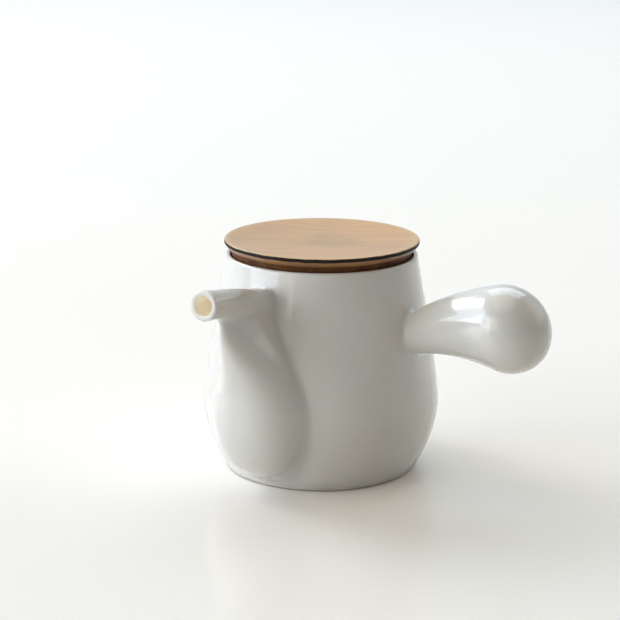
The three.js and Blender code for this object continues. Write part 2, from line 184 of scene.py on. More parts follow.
# Surface relief, and the run of the grain
GLAZE_SWELL = 0.00022
GLAZE_PEEL = 0.000012
GRIT_HEIGHT = 0.00004
RING_HEIGHT = 0.00003
LID_RING_SPACING = 0.0011
BAND_RING_SPACING = 0.0009
LID_GRAIN_HEIGHT = 0.00004
BAND_GRAIN_HEIGHT = 0.00003
LID_GRAIN_WARP = 0.02
BAND_GRAIN_WARP = 0.015
GRAIN_TURN = math.radians(-24)
GRAIN_CELLS_PER_METRE = (14, 240, 60)

# Colours, as linear red, green and blue
PORCELAIN = (0.80, 0.795, 0.78)
PORCELAIN_CLOUD = (0.775, 0.77, 0.755)
# painted glow for the inside of the spout's bore
PAINTED_BORE_GLOW = (1.0, 0.78, 0.42)
# unglazed foot, in a darker brown that paints the contact shade under it
FOOT_AND_SHADE_PALE = (0.50, 0.42, 0.31)
FOOT_AND_SHADE_DARK = (0.40, 0.33, 0.24)
TAN_DARK = (0.59, 0.30, 0.098)
TAN_PALE = (0.71, 0.405, 0.148)
TAN_PATCH = (0.40, 0.22, 0.08)
# painted reflection that darkens the middle of the lid's top
PAINTED_DARK_MIDDLE = (0.31, 0.19, 0.068)
TURNING_MARK = (0.78, 0.50, 0.24)
# painted highlight along the lid's crest
PAINTED_CREST_HIGHLIGHT = (0.66, 0.45, 0.20)
UNDERSIDE_DARK = (0.24, 0.105, 0.035)
UNDERSIDE_PALE = (0.38, 0.19, 0.075)
EDGE_BLACK = (0.018, 0.012, 0.012)
BAND_DARK = (0.075, 0.028, 0.009)
BAND_PALE = (0.16, 0.068, 0.022)
TABLE = (0.76, 0.73, 0.68)
TABLE_SHOWN = (1.0, 0.985, 0.955)
# painted light that lifts the table, more where it is seen at a low angle
TABLE_PAINTED_LIFT = (1.0, 0.90, 0.84)
AMBIENT = (1.0, 0.75, 0.45)
ROOM = (0.66, 0.75, 0.80)
BACKDROP = (1.0, 1.0, 1.0)

# Fineness of the meshes
POT_SEGMENTS = 320
LID_SEGMENTS = 288
PORT_SEGMENTS = 96
WALL_STEPS = 70
FINE_WALL_STEPS = 400
ROUNDING_STEPS = 7
DISH_STEPS = 150
SPOUT_CELL = 0.0006
HANDLE_CELL = 0.0007
STRAINER_CELL = 0.0004
RELAX_ROUNDS = 3
SETTLE_ROUNDS = 5
NEAREST_ROUNDS = 3
SLOPE_STEP = 0.00002
LEAST_STEEPNESS = 0.1
NO_LENGTH = 1e-9
SHARP_ANGLE = math.radians(32)

# Room left round a form in the grid that its mesh is made on
SPOUT_ROOM_AHEAD = 0.004
SPOUT_ROOM_ABOVE = 0.002
HANDLE_ROOM = 0.002
STRAINER_ROOM = 0.003
STRAINER_ROOM_AHEAD = 0.001

# Camera, at the photograph's viewpoint
CAMERA_AZIMUTH = math.radians(32)
CAMERA_DISTANCE = 0.7662
CAMERA_HEIGHT = 0.2689
CAMERA_PITCH = math.radians(14.607)
CAMERA_YAW = math.radians(0.377)
CAMERA_ROLL = math.radians(0.311)
SENSOR_WIDTH_MM = 36
LENS_MM = 104.5

# Floor and light: painted light lifts the table a little, and more where it is seen at a low angle
FLOOR_SIZE = 12.0
PAINTED_LIFT_FROM = 0.63
PAINTED_LIFT_FULL = 0.70
PAINTED_LIFT_NEAR = 0.05
PAINTED_LIFT_FAR = 0.12
AMBIENT_STRENGTH = 0.05
LIGHT_DISTANCE = 4.0

mouth_radius = LIP_RADIUS - LIP_WALL
seat_height = POT_HEIGHT - SEAT_DEPTH
plug_radius = mouth_radius - PLUG_CLEARANCE
spigot_radius = mouth_radius - SEAT_WIDTH - PLUG_CLEARANCE
plug_bottom = seat_height + SEAT_GAP
plate_bottom = POT_HEIGHT + PLUG_BAND_HEIGHT + SEAT_GAP
chamfer_top = plate_bottom + LID_CHAMFER_HEIGHT
lid_top = chamfer_top + LID_EDGE_HEIGHT


# Curves

def cubic(start, start_handle, end_handle, end, count):
    t = np.linspace(0, 1, count)[:, None]
    a, b, c, d = (np.array(p) for p in (start, start_handle, end_handle, end))
    return a * (1 - t) ** 3 + 3 * b * t * (1 - t) ** 2 + 3 * c * t ** 2 * (1 - t) + d * t ** 3


def arc(centre, radius, start_degrees, end_degrees):
    angle = np.radians(np.linspace(start_degrees, end_degrees, ROUNDING_STEPS + 1))
    return np.c_[centre[0] + radius * np.cos(angle), centre[1] + radius * np.sin(angle)]


def wall_curve(steps):
    """Outer wall as (radius, height) points, from the foot's edge up to the lip."""
    belly = (BELLY_RADIUS, BELLY_HEIGHT)
    lower = cubic(
        (FOOT_RADIUS, FOOT_EDGE_ROUNDING),
        (FOOT_RADIUS + FOOT_CURVE_FLARE, FOOT_CURVE_RISE),
        (BELLY_RADIUS, BELLY_HEIGHT - BELLY_CURVE_DROP),
        belly,
        steps,
    )
    upper = cubic(
        belly,
        (BELLY_RADIUS, BELLY_HEIGHT + BELLY_CURVE_RISE),
        (LIP_RADIUS + LIP_TAPER * SHOULDER_CURVE_DROP, POT_HEIGHT - SHOULDER_CURVE_DROP),
        (LIP_RADIUS, POT_HEIGHT - LIP_WALL / 2),
        steps,
    )
    return np.vstack([lower, upper[1:]])


fine_wall = wall_curve(FINE_WALL_STEPS)
fine_slope = np.gradient(fine_wall[:, 0], fine_wall[:, 1])


def wall_at(z):
    """The pot's outer radius and its slope at heights z, smooth between the curve's points."""
    z = np.clip(z, fine_wall[0, 1], fine_wall[-1, 1])
    upper = np.clip(np.searchsorted(fine_wall[:, 1], z), 1, len(fine_wall) - 1)
    lower = upper - 1
    low, high = fine_wall[lower, 1], fine_wall[upper, 1]
    rise = high - low
    t = (z - low) / rise
    radius = (
        fine_wall[lower, 0] * (1 + 2 * t) * (1 - t) ** 2
        + fine_wall[upper, 0] * t * t * (3 - 2 * t)
        + fine_slope[lower] * rise * t * (1 - t) ** 2
        - fine_slope[upper] * rise * t * t * (1 - t)
    )
    slope = fine_slope[lower] * (1 - t) + fine_slope[upper] * t
    return radius, slope


# Fields: distance outside a form, in metres, below zero inside it

def soft_min(a, b, reach):
    """The smaller of two fields, blended over a reach."""
    share = np.clip(1 - np.abs(a - b) / reach, 0, 1)
    return np.minimum(a, b) - share * share * reach / 4


def soft_max(a, b, reach):
    return -soft_min(-a, -b, reach)


def ease(t):
    t = np.clip(t, 0, 1)
    return t * t * (3 - 2 * t)


def slope_of(field, p):
    """Gradient of a field at points p."""
    parts = []
    for axis in range(3):
        step = np.zeros(3)
        step[axis] = SLOPE_STEP
        parts.append((field(p + step) - field(p - step)) / (2 * SLOPE_STEP))
    return np.stack(parts, -1)


def pot_field(p):
    radius, slope = wall_at(p[..., 2])
    return (np.hypot(p[..., 0], p[..., 1]) - radius) / np.sqrt(1 + slope ** 2)


def pouch_level(p):
    """Zero on the pouch: an egg below its widest level, and a narrowing throat above it."""
    out = -p[..., 1] - (BELLY_RADIUS - POUCH_SEAT_DEPTH)
    z = p[..., 2]
    narrowing = ease((z - POUCH_BELLY_HEIGHT) / (POUCH_TAPER_HEIGHT - POUCH_BELLY_HEIGHT))
    half_width = POUCH_HALF_WIDTH + (POUCH_TAPER_HALF_WIDTH - POUCH_HALF_WIDTH) * narrowing
    rise = ease((z - POUCH_THROAT_START) / (POUCH_THROAT_HEIGHT - POUCH_THROAT_START))
    depth = POUCH_BELLY_DEPTH + (POUCH_THROAT_DEPTH - POUCH_BELLY_DEPTH) * rise
    across = np.abs(p[..., 0]) / half_width
    ahead = np.abs(out) / depth
    level = (across ** POUCH_SQUARENESS + ahead ** POUCH_SQUARENESS) ** (1 / POUCH_SQUARENESS)
    drop = np.maximum(POUCH_BELLY_HEIGHT - z, 0) / (POUCH_BELLY_HEIGHT - POUCH_FOOT_HEIGHT)
    return np.hypot(level, drop) - 1


def pouch_field(p):
    level = pouch_level(p)
    steepness = np.zeros_like(level)
    for axis in range(3):
        step = np.zeros(3)
        step[axis] = SLOPE_STEP
        steepness += ((pouch_level(p + step) - level) / SLOPE_STEP) ** 2
    return level / np.sqrt(np.maximum(steepness, 1))


class Path:
    """A quadratic curve of (reach, height) points."""

    def __init__(self, start, bend, end):
        self.start, self.bend, self.end = (np.array(p) for p in (start, bend, end))
        self.start_speed = 2 * np.linalg.norm(self.bend - self.start)
        self.end_speed = 2 * np.linalg.norm(self.end - self.bend)
        self.length = (self.start_speed + self.end_speed) / 2

    def at(self, t):
        t = t[..., None]
        return self.start * (1 - t) ** 2 + 2 * self.bend * t * (1 - t) + self.end * t ** 2

    def nearest(self, q):
        """Curve parameter of the nearest point to each (reach, height) point q."""
        second = 2 * (self.start - 2 * self.bend + self.end)
        t = (q[..., 0] - self.start[0]) / (self.end[0] - self.start[0])
        for _ in range(NEAREST_ROUNDS):
            speed = 2 * (self.bend - self.start) + second * t[..., None]
            off = self.at(t) - q
            curvature = (speed ** 2).sum(-1) + (off * second).sum(-1)
            t = t - (off * speed).sum(-1) / curvature
        return t

    def share(self, t):
        """Share of the curve's length at parameter t."""
        gain = self.end_speed - self.start_speed
        return (self.start_speed * t + gain * t * t / 2) / self.length


neck_path = Path(
    (wall_at(NECK_ROOT_HEIGHT)[0] - POT_WALL, NECK_ROOT_HEIGHT),
    (BELLY_RADIUS + NECK_BEND_PROUD, NECK_BEND_HEIGHT),
    (BELLY_RADIUS + TIP_PROUD, TIP_HEIGHT),
)


def upright(x, z):
    """The handle's sections lean, so its field is worked out with the lean taken away."""
    return z + HANDLE_LEAN * (x - BELLY_RADIUS - BALL_PROUD)


def upright_point(x, z):
    return (x, upright(x, z))


handle_path = Path(
    upright_point(wall_at(HANDLE_ROOT_HEIGHT)[0] - POT_WALL, HANDLE_ROOT_HEIGHT),
    upright_point(BELLY_RADIUS + HANDLE_BEND_PROUD, HANDLE_BEND_HEIGHT),
    upright_point(BELLY_RADIUS + BALL_PROUD, BALL_HEIGHT),
)


def neck_fields(p):
    """Neck's outside, its bore, distance past the tip's plane, and height over its middle line."""
    q = np.stack([-p[..., 1], p[..., 2]], -1)
    t = neck_path.nearest(q)
    middle = neck_path.at(t)
    off = np.sqrt(p[..., 0] ** 2 + ((q - middle) ** 2).sum(-1))
    swell = neck_path.share(np.clip(t, 0, 1)) ** NECK_SWELL
    outside = off - (NECK_ROOT_RADIUS + (TIP_RADIUS - NECK_ROOT_RADIUS) * swell)
    bore_root = NECK_ROOT_RADIUS - NECK_WALL
    bore = off - (bore_root + (BORE_RADIUS - bore_root) * swell)
    along = neck_path.end - neck_path.bend
    along = along / np.linalg.norm(along)
    past_tip = ((q - neck_path.end) * along).sum(-1)
    return outside, bore, past_tip, q[..., 1] - middle[..., 1]


def crease_reach(z):
    """The spout's crease is crisp beside the neck and soft round the pouch's foot."""
    softness = np.exp(-z / CREASE_FILLET_FADE) * ease(z / POUCH_FOOT_HEIGHT)
    return CREASE_FILLET_TOP + (CREASE_FILLET_FOOT - CREASE_FILLET_TOP) * softness


def spout_field(p):
    neck, bore, past_tip, over = neck_fields(p)
    pouch = soft_max(pouch_field(p), over, THROAT_ROUNDING)
    outside = soft_max(soft_min(pouch, neck, NECK_FILLET), past_tip, TIP_ROUNDING)
    pot = pot_field(p)
    reach = crease_reach(p[..., 2])
    blended = soft_min(outside, pot + FEATHER_DEPTH, reach)
    shell = np.maximum(blended, outside - FEATHER_REACH * reach)
    shell = np.maximum(shell, -pot - SKIRT_DEPTH)
    hollow = np.minimum(pouch + POUCH_WALL, bore)
    return soft_max(shell, -hollow, TIP_ROUNDING)


def club_radius(distance):
    """Radius along the handle: a slender taper that runs smoothly into the ball."""
    meeting = handle_path.length - HANDLE_BALL_LEAD
    meeting_radius = math.sqrt(BALL_RADIUS ** 2 - HANDLE_BALL_LEAD ** 2)
    slope = HANDLE_BALL_LEAD / meeting_radius
    bow = (HANDLE_ROOT_RADIUS - meeting_radius + slope * meeting) / meeting ** 2
    back = meeting - distance
    taper = meeting_radius - slope * back + bow * back * back
    ball = np.sqrt(np.maximum(BALL_RADIUS ** 2 - (handle_path.length - distance) ** 2, 0))
    return np.where(distance > meeting, ball, taper)


def club_field(p):
    q = np.stack([p[..., 0], upright(p[..., 0], p[..., 2])], -1)
    t = handle_path.nearest(q)
    off = np.sqrt(p[..., 1] ** 2 + ((q - handle_path.at(t)) ** 2).sum(-1))
    share = np.clip(handle_path.share(t), 0, 1)
    tube = off - club_radius(share * handle_path.length)
    ball = np.sqrt(p[..., 1] ** 2 + ((q - handle_path.end) ** 2).sum(-1)) - BALL_RADIUS
    return np.where(t > 1, ball, tube)


def handle_field(p):
    club = club_field(p)
    pot = pot_field(p)
    blended = soft_min(club, pot + FEATHER_DEPTH, HANDLE_FILLET)
    shell = np.maximum(blended, club - FEATHER_REACH * HANDLE_FILLET)
    shell = np.maximum(shell, -pot - SKIRT_DEPTH)
    above = handle_path.at(np.array(VENT_SHARE))
    vent = np.hypot(p[..., 0] - above[0], p[..., 1]) - VENT_RADIUS
    vent = np.maximum(vent, upright(p[..., 0], p[..., 2]) - above[1])
    return np.maximum(soft_max(shell, -vent, VENT_RADIUS / 2), -club - HANDLE_WALL)


def strainer_seat():
    """Distance from the pot's axis to the plane where the strainer's rim meets the inner wall."""
    inside = wall_at(STRAINER_HEIGHT)[0] - POT_WALL
    return math.sqrt(inside ** 2 - (PORT_RADIUS + STRAINER_LANDING) ** 2)


def strainer_hole_places():
    places = [(0.0, 0.0)]
    for ring in range(1, STRAINER_HOLE_RINGS + 1):
        count = STRAINER_HOLES_PER_RING * ring
        for k in range(count):
            angle = 2 * math.pi * k / count
            reach = ring * STRAINER_HOLE_PITCH
            places.append((reach * math.cos(angle), reach * math.sin(angle)))
    return places


def strainer_field(p):
    """A domed cap over the port, pierced, with its rim luted to the pot's inner wall."""
    across, up = p[..., 0], p[..., 2] - STRAINER_HEIGHT
    proud = p[..., 1] + strainer_seat() - STRAINER_COLLAR
    off = np.hypot(across, up)
    rim = PORT_RADIUS + STRAINER_LANDING
    squash = np.where(proud > 0, rim / STRAINER_RISE, 1)
    round_off = np.sqrt(off ** 2 + (np.maximum(proud, 0) * squash) ** 2)
    steepness = 1 + (squash - 1) * np.clip(proud / STRAINER_RISE, 0, 1)
    dome = (round_off - rim) / steepness
    shell = np.maximum(dome, -dome - STRAINER_WALL)
    holes = np.full(off.shape, 1.0)
    for x, z in strainer_hole_places():
        holes = np.minimum(holes, np.hypot(across - x, up - z) - STRAINER_HOLE_RADIUS)
    inner_wall = pot_field(p) + POT_WALL
    pierced = soft_max(shell, -holes, STRAINER_HOLE_RADIUS / 2)
    luted = soft_min(pierced, -inner_wall + FEATHER_DEPTH, STRAINER_FILLET)
    luted = np.maximum(luted, dome - FEATHER_REACH * STRAINER_FILLET)
    luted = np.maximum(luted, -dome - STRAINER_WALL)
    return np.maximum(luted, inner_wall - SKIRT_DEPTH)


# Meshes from fields

def surface_net(field, low, high, cell):
    """Points and quads of the surface where a field passes zero, on a grid of cells."""
    low = np.array(low)
    counts = np.ceil((np.array(high) - low) / cell).astype(int) + 1
    steps = np.stack(np.meshgrid(*(np.arange(n) for n in counts), indexing="ij"), -1)
    values = field(low + cell * steps)
    solid = values < 0
    cells = counts - 1
    total = np.zeros((*cells, 3))
    hits = np.zeros(cells)
    for axis in range(3):
        order = (axis, (axis + 1) % 3, (axis + 2) % 3)
        v = values.transpose(order)
        s = solid.transpose(order)
        crossing = s[:-1] != s[1:]
        share = np.where(crossing, v[:-1] / np.where(crossing, v[:-1] - v[1:], 1), 0)
        place = steps.transpose((*order, 3))[:-1].astype(float)
        place[..., axis] += share
        sums = total.transpose((*order, 3))
        count = hits.transpose(order)
        for j in (0, 1):
            for k in (0, 1):
                part = (slice(None), slice(j, j + count.shape[1]), slice(k, k + count.shape[2]))
                sums += np.where(crossing[part], 1, 0)[..., None] * place[part]
                count += crossing[part]
    active = hits > 0
    number = np.full(cells, -1)
    number[active] = np.arange(active.sum())
    points = low + cell * total[active] / hits[active][:, None]
    quads = []
    for axis in range(3):
        order = (axis, (axis + 1) % 3, (axis + 2) % 3)
        s = solid.transpose(order)
        n = number.transpose(order)
        i, j, k = np.nonzero(s[:-1, 1:-1, 1:-1] != s[1:, 1:-1, 1:-1])
        around = np.stack([n[i, j, k], n[i, j + 1, k], n[i, j + 1, k + 1], n[i, j, k + 1]], -1)
        flip = ~s[i, j + 1, k + 1]
        around[flip] = around[flip][:, ::-1]
        quads.append(around)
    return points, np.vstack(quads)


def settled(points, field, longest):
    """Moves points onto the surface of a field, each by no more than the longest step a round."""
    for _ in range(SETTLE_ROUNDS):
        slope = slope_of(field, points)
        steepness = np.maximum((slope ** 2).sum(-1), LEAST_STEEPNESS)
        step = slope * (field(points) / steepness)[:, None]
        length = np.linalg.norm(step, axis=1, keepdims=True)
        points = points - step * np.minimum(1, longest / np.maximum(length, NO_LENGTH))
    return points


def relaxed(points, quads):
    """Each point moved to the mean of the quads round it, which evens out the mesh."""
    centres = points[quads].mean(1)
    total = np.zeros_like(points)
    hits = np.zeros(len(points))
    for corner in range(4):
        np.add.at(total, quads[:, corner], centres)
        np.add.at(hits, quads[:, corner], 1)
    return total / hits[:, None]


def painted_bore_glow(points):
    """Share of the painted glow in the neck's bore, which stands in for daylight through its thin wall."""
    _, bore, past_tip, _ = neck_fields(points)
    return ease(1 - bore / PAINTED_BORE_GLOW_EDGE) * ease(1 + past_tip / PAINTED_BORE_GLOW_DEPTH)


def field_mesh(name, field, low, high, cell):
    points, quads = surface_net(field, low, high, cell)
    points = settled(points, field, cell)
    for _ in range(RELAX_ROUNDS):
        points = settled(relaxed(points, quads), field, cell)
    mesh = bpy.data.meshes.new(name)
    mesh.from_pydata(points.tolist(), [], quads.tolist())
    mesh.shade_smooth()
    normals = slope_of(field, points)
    normals /= np.linalg.norm(normals, axis=1, keepdims=True)
    mesh.normals_split_custom_set_from_vertices(normals.tolist())
    return mesh


def turned_mesh(name, profile, segments):
    """Turns a closed profile of (radius, height) points about the pot's axis."""
    angles = 2 * np.pi * np.arange(segments) / segments
    points = []
    rings = []
    for radius, z in profile:
        if radius < NO_LENGTH:
            rings.append([len(points)] * segments)
            points.append((0.0, 0.0, z))
        else:
            rings.append(list(range(len(points), len(points) + segments)))
            points.extend(zip(radius * np.cos(angles), radius * np.sin(angles), [z] * segments))
    faces = []
    for low, high in zip(rings, rings[1:]):
        for k in range(segments):
            following = (k + 1) % segments
            corners = [low[k], low[following], high[following], high[k]]
            face = [c for i, c in enumerate(corners) if c != corners[i - 1]]
            if len(face) > 2:
                faces.append(face)
    mesh = bpy.data.meshes.new(name)
    mesh.from_pydata(points, [], faces)
    mesh.shade_smooth()
    mesh.set_sharp_from_angle(angle=SHARP_ANGLE)
    return mesh


# Materials

def colour(rgb):
    return (*rgb, 1.0)


class Shading:
    """Adds and links the nodes of one material."""

    def __init__(self, name):
        self.material = bpy.data.materials.new(name)
        self.material.use_nodes = True
        self.tree = self.material.node_tree
        self.tree.nodes.clear()
        self.place = self.node("ShaderNodeTexCoord").outputs["Object"]

    def node(self, kind, inputs=None, **settings):
        made = self.tree.nodes.new(kind)
        for key, value in settings.items():
            setattr(made, key, value)
        for key, value in (inputs or {}).items():
            self.feed(made.inputs[key], value)
        return made

    def feed(self, socket, value):
        if isinstance(value, bpy.types.NodeSocket):
            self.tree.links.new(value, socket)
        else:
            socket.default_value = value

    def math(self, operation, a, b):
        return self.node("ShaderNodeMath", {0: a, 1: b}, operation=operation).outputs[0]

    def inverse(self, share):
        return self.math("SUBTRACT", 1.0, share)

    def between(self, value, start, end):
        """Zero at start and one at end, smooth in between."""
        made = self.node(
            "ShaderNodeMapRange",
            {"Value": value, "From Min": start, "From Max": end, "To Min": 0.0, "To Max": 1.0},
            interpolation_type="SMOOTHSTEP",
        )
        return made.outputs[0]

    def spread(self, share, low, high):
        """A share from zero to one, spread from low to high."""
        return self.node("ShaderNodeMapRange", {"Value": share, "To Min": low, "To Max": high}).outputs[0]

    def mix(self, share, a, b):
        """Mixes two colours, which are a Mix node's inputs 6 and 7 and its output 2."""
        made = self.node("ShaderNodeMix", data_type="RGBA")
        self.feed(made.inputs[0], share)
        self.feed(made.inputs[6], a)
        self.feed(made.inputs[7], b)
        return made.outputs[2]

    def lay_over(self, base, rgb, share, most):
        """The base colour with another laid over it, by the share times the most there may be."""
        return self.mix(self.math("MULTIPLY", share, most), base, colour(rgb))

    def noise(self, scale=1.0, detail=2.0, roughness=0.5, place=None):
        """Noise with about scale cells per metre."""
        made = self.node("ShaderNodeTexNoise", {"Scale": scale, "Detail": detail, "Roughness": roughness})
        self.feed(made.inputs["Vector"], self.place if place is None else place)
        return made.outputs[0]

    def bump(self, height, distance, strength, under=None):
        made = self.node("ShaderNodeBump", {"Height": height, "Distance": distance, "Strength": strength})
        if under is not None:
            self.feed(made.inputs["Normal"], under)
        return made.outputs[0]

    def finish(self, inputs):
        shader = self.node("ShaderNodeBsdfPrincipled", inputs)
        output = self.node("ShaderNodeOutputMaterial")
        self.tree.links.new(shader.outputs[0], output.inputs["Surface"])
        return self.material


def glaze():
    """White porcelain under a clear gloss glaze that is a little uneven, with a painted glow inside the
    spout's bore.
    """
    s = Shading("clear_glaze")
    cloud = s.between(s.noise(scale=38, detail=3), 0.35, 0.65)
    swell = s.bump(s.noise(scale=55, detail=1), GLAZE_SWELL, strength=0.5)
    peel = s.bump(s.noise(scale=420, detail=1), GLAZE_PEEL, strength=0.5, under=swell)
    # painted glow in the spout's bore: an emission standing in for daylight through the neck's thin wall
    through = s.node("ShaderNodeAttribute", attribute_name="painted_bore_glow").outputs["Fac"]
    return s.finish({
        "Base Color": s.mix(cloud, colour(PORCELAIN), colour(PORCELAIN_CLOUD)),
        "Emission Color": colour(PAINTED_BORE_GLOW),
        "Emission Strength": s.math("MULTIPLY", through, PAINTED_BORE_GLOW_LEVEL),
        "Roughness": s.spread(s.noise(scale=120), 0.10, 0.17),
        "IOR": 1.5,
        "Coat Weight": 0.6,
        "Coat Roughness": 0.04,
        "Coat Normal": peel,
        "Subsurface Weight": 0.35,
        "Subsurface Radius": (1.0, 0.75, 0.45),
        "Subsurface Scale": 0.0025,
        "Normal": swell,
    })


def bare_foot_and_shade():
    """Unglazed ring that the pot stands on: matt, with fine grit, in a darker brown than bare porcelain
    that paints the contact shade under the foot.
    """
    s = Shading("unglazed_foot_painted_shade")
    grit = s.noise(scale=2600)
    return s.finish({
        "Base Color": s.mix(s.between(grit, 0.3, 0.7), colour(FOOT_AND_SHADE_PALE), colour(FOOT_AND_SHADE_DARK)),
        "Roughness": 0.85,
        "Normal": s.bump(grit, GRIT_HEIGHT, strength=0.8),
    })


def radius_and_height(s):
    """Distance from the pot's axis, and height."""
    x, y, z = s.node("ShaderNodeSeparateXYZ", {0: s.place}).outputs
    flat = s.node("ShaderNodeCombineXYZ", {0: x, 1: y})
    length = s.node("ShaderNodeVectorMath", {0: flat.outputs[0]}, operation="LENGTH")
    return length.outputs["Value"], z


def grain(s, warp):
    """Long soft streaks of wood grain, bent a little."""
    turned = s.node("ShaderNodeMapping", {"Vector": s.place, "Rotation": (0, 0, GRAIN_TURN)})
    push = s.node("ShaderNodeCombineXYZ", {1: s.math("MULTIPLY", s.noise(scale=26, detail=1), warp)})
    bent = s.node("ShaderNodeVectorMath", {0: turned.outputs[0], 1: push.outputs[0]}, operation="ADD")
    stretched = s.node("ShaderNodeMapping", {"Vector": bent.outputs[0], "Scale": GRAIN_CELLS_PER_METRE})
    return s.noise(detail=5, roughness=0.62, place=stretched.outputs[0])


def turning_rings(s, radius, spacing):
    """Faint marks of the turning tool, as rings of uneven strength."""
    wander = s.math("MULTIPLY", s.noise(scale=9, detail=1), spacing)
    turns = s.math("DIVIDE", s.math("ADD", radius, wander), spacing)
    rings = s.node("ShaderNodeTexNoise", {"W": turns, "Scale": 1.0, "Detail": 3.0}, noise_dimensions="1D")
    return rings.outputs[0]


def lid_face(s, radius, streaks, rings):
    """Colour of the lid's upper face: tan streaks, a darker middle that is a painted reflection, and a pale
    crest that is a painted highlight.
    """
    tan = s.mix(s.between(streaks, 0.3, 0.72), colour(TAN_DARK), colour(TAN_PALE))
    patch = s.between(s.noise(scale=21), 0.48, 0.68)
    # painted reflection: the dish's middle drawn darker
    dark_middle_edge = s.math("ADD", radius, s.math("MULTIPLY", s.noise(scale=48), DARK_MIDDLE_WANDER))
    dark_middle = s.between(dark_middle_edge, DARK_MIDDLE_RIM, DARK_MIDDLE_CORE)
    # painted highlight along the crest
    crest = s.between(radius, LID_RADIUS - CREST_HIGHLIGHT_START, LID_RADIUS - CREST_HIGHLIGHT_FULL)
    tan = s.lay_over(tan, TAN_PATCH, patch, most=0.3)
    tan = s.lay_over(tan, PAINTED_DARK_MIDDLE, dark_middle, most=0.45)
    tan = s.lay_over(tan, TURNING_MARK, s.between(rings, 0.45, 0.7), most=0.12)
    return s.lay_over(tan, PAINTED_CREST_HIGHLIGHT, crest, most=0.6)


def dark_edge(s, radius, z):
    """One on the lid's dark edge, whose borders wander a little, and zero elsewhere."""
    height = s.math("ADD", z, s.math("MULTIPLY", s.noise(scale=160), DARK_EDGE_WANDER))
    above_chamfer = s.between(height, chamfer_top + DARK_EDGE_START, chamfer_top + DARK_EDGE_FULL)
    above_edge = s.between(height, lid_top - DARK_EDGE_FADE, lid_top + DARK_EDGE_END)
    outer = s.between(radius, LID_RADIUS - DARK_EDGE_INNER, LID_RADIUS - DARK_EDGE_OUTER)
    band = s.math("MULTIPLY", above_chamfer, s.inverse(above_edge))
    return s.math("MULTIPLY", band, outer)


def lid_wood():
    """Turned disc of the lid: tan wood under thin lacquer, with a dark edge over a brown chamfer."""
    s = Shading("turned_wood")
    radius, z = radius_and_height(s)
    streaks = grain(s, LID_GRAIN_WARP)
    rings = turning_rings(s, radius, LID_RING_SPACING)
    under = s.mix(s.between(streaks, 0.3, 0.7), colour(UNDERSIDE_DARK), colour(UNDERSIDE_PALE))
    outside = s.between(radius, LID_RADIUS - UNDERSIDE_INNER, LID_RADIUS - UNDERSIDE_OUTER)
    upper = s.math("MAXIMUM", s.between(z, chamfer_top, chamfer_top + FACE_FADE), s.inverse(outside))
    wood = s.mix(upper, under, lid_face(s, radius, streaks, rings))
    dark = dark_edge(s, radius, z)
    lines = s.bump(rings, RING_HEIGHT, strength=0.3)
    return s.finish({
        "Base Color": s.mix(dark, wood, colour(EDGE_BLACK)),
        "Roughness": s.spread(streaks, 0.30, 0.46),
        "Specular IOR Level": s.math("MULTIPLY", s.inverse(dark), 0.35),
        "Coat Weight": s.math("SUBTRACT", 0.4, s.math("MULTIPLY", dark, 0.15)),
        "Coat Roughness": 0.2,
        "Normal": s.bump(streaks, LID_GRAIN_HEIGHT, strength=0.4, under=lines),
    })


def band_wood():
    """Lower disc of the lid: dark red-brown lacquer over wood."""
    s = Shading("dark_turned_wood")
    radius, _ = radius_and_height(s)
    streaks = grain(s, BAND_GRAIN_WARP)
    rings = turning_rings(s, radius, BAND_RING_SPACING)
    lines = s.bump(rings, RING_HEIGHT, strength=0.5)
    return s.finish({
        "Base Color": s.mix(s.between(streaks, 0.3, 0.7), colour(BAND_DARK), colour(BAND_PALE)),
        "Roughness": 0.42,
        "Specular IOR Level": 0.1,
        "Coat Weight": 0.05,
        "Coat Roughness": 0.2,
        "Normal": s.bump(streaks, BAND_GRAIN_HEIGHT, strength=0.4, under=lines),
    })


# Pieces

def add_piece(mesh, body, slot, node, *materials):
    piece = bpy.data.objects.new(mesh.name, mesh)
    bpy.context.scene.collection.objects.link(piece)
    for material in materials:
        mesh.materials.append(material)
    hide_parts(node)
    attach(piece, body)
    return piece


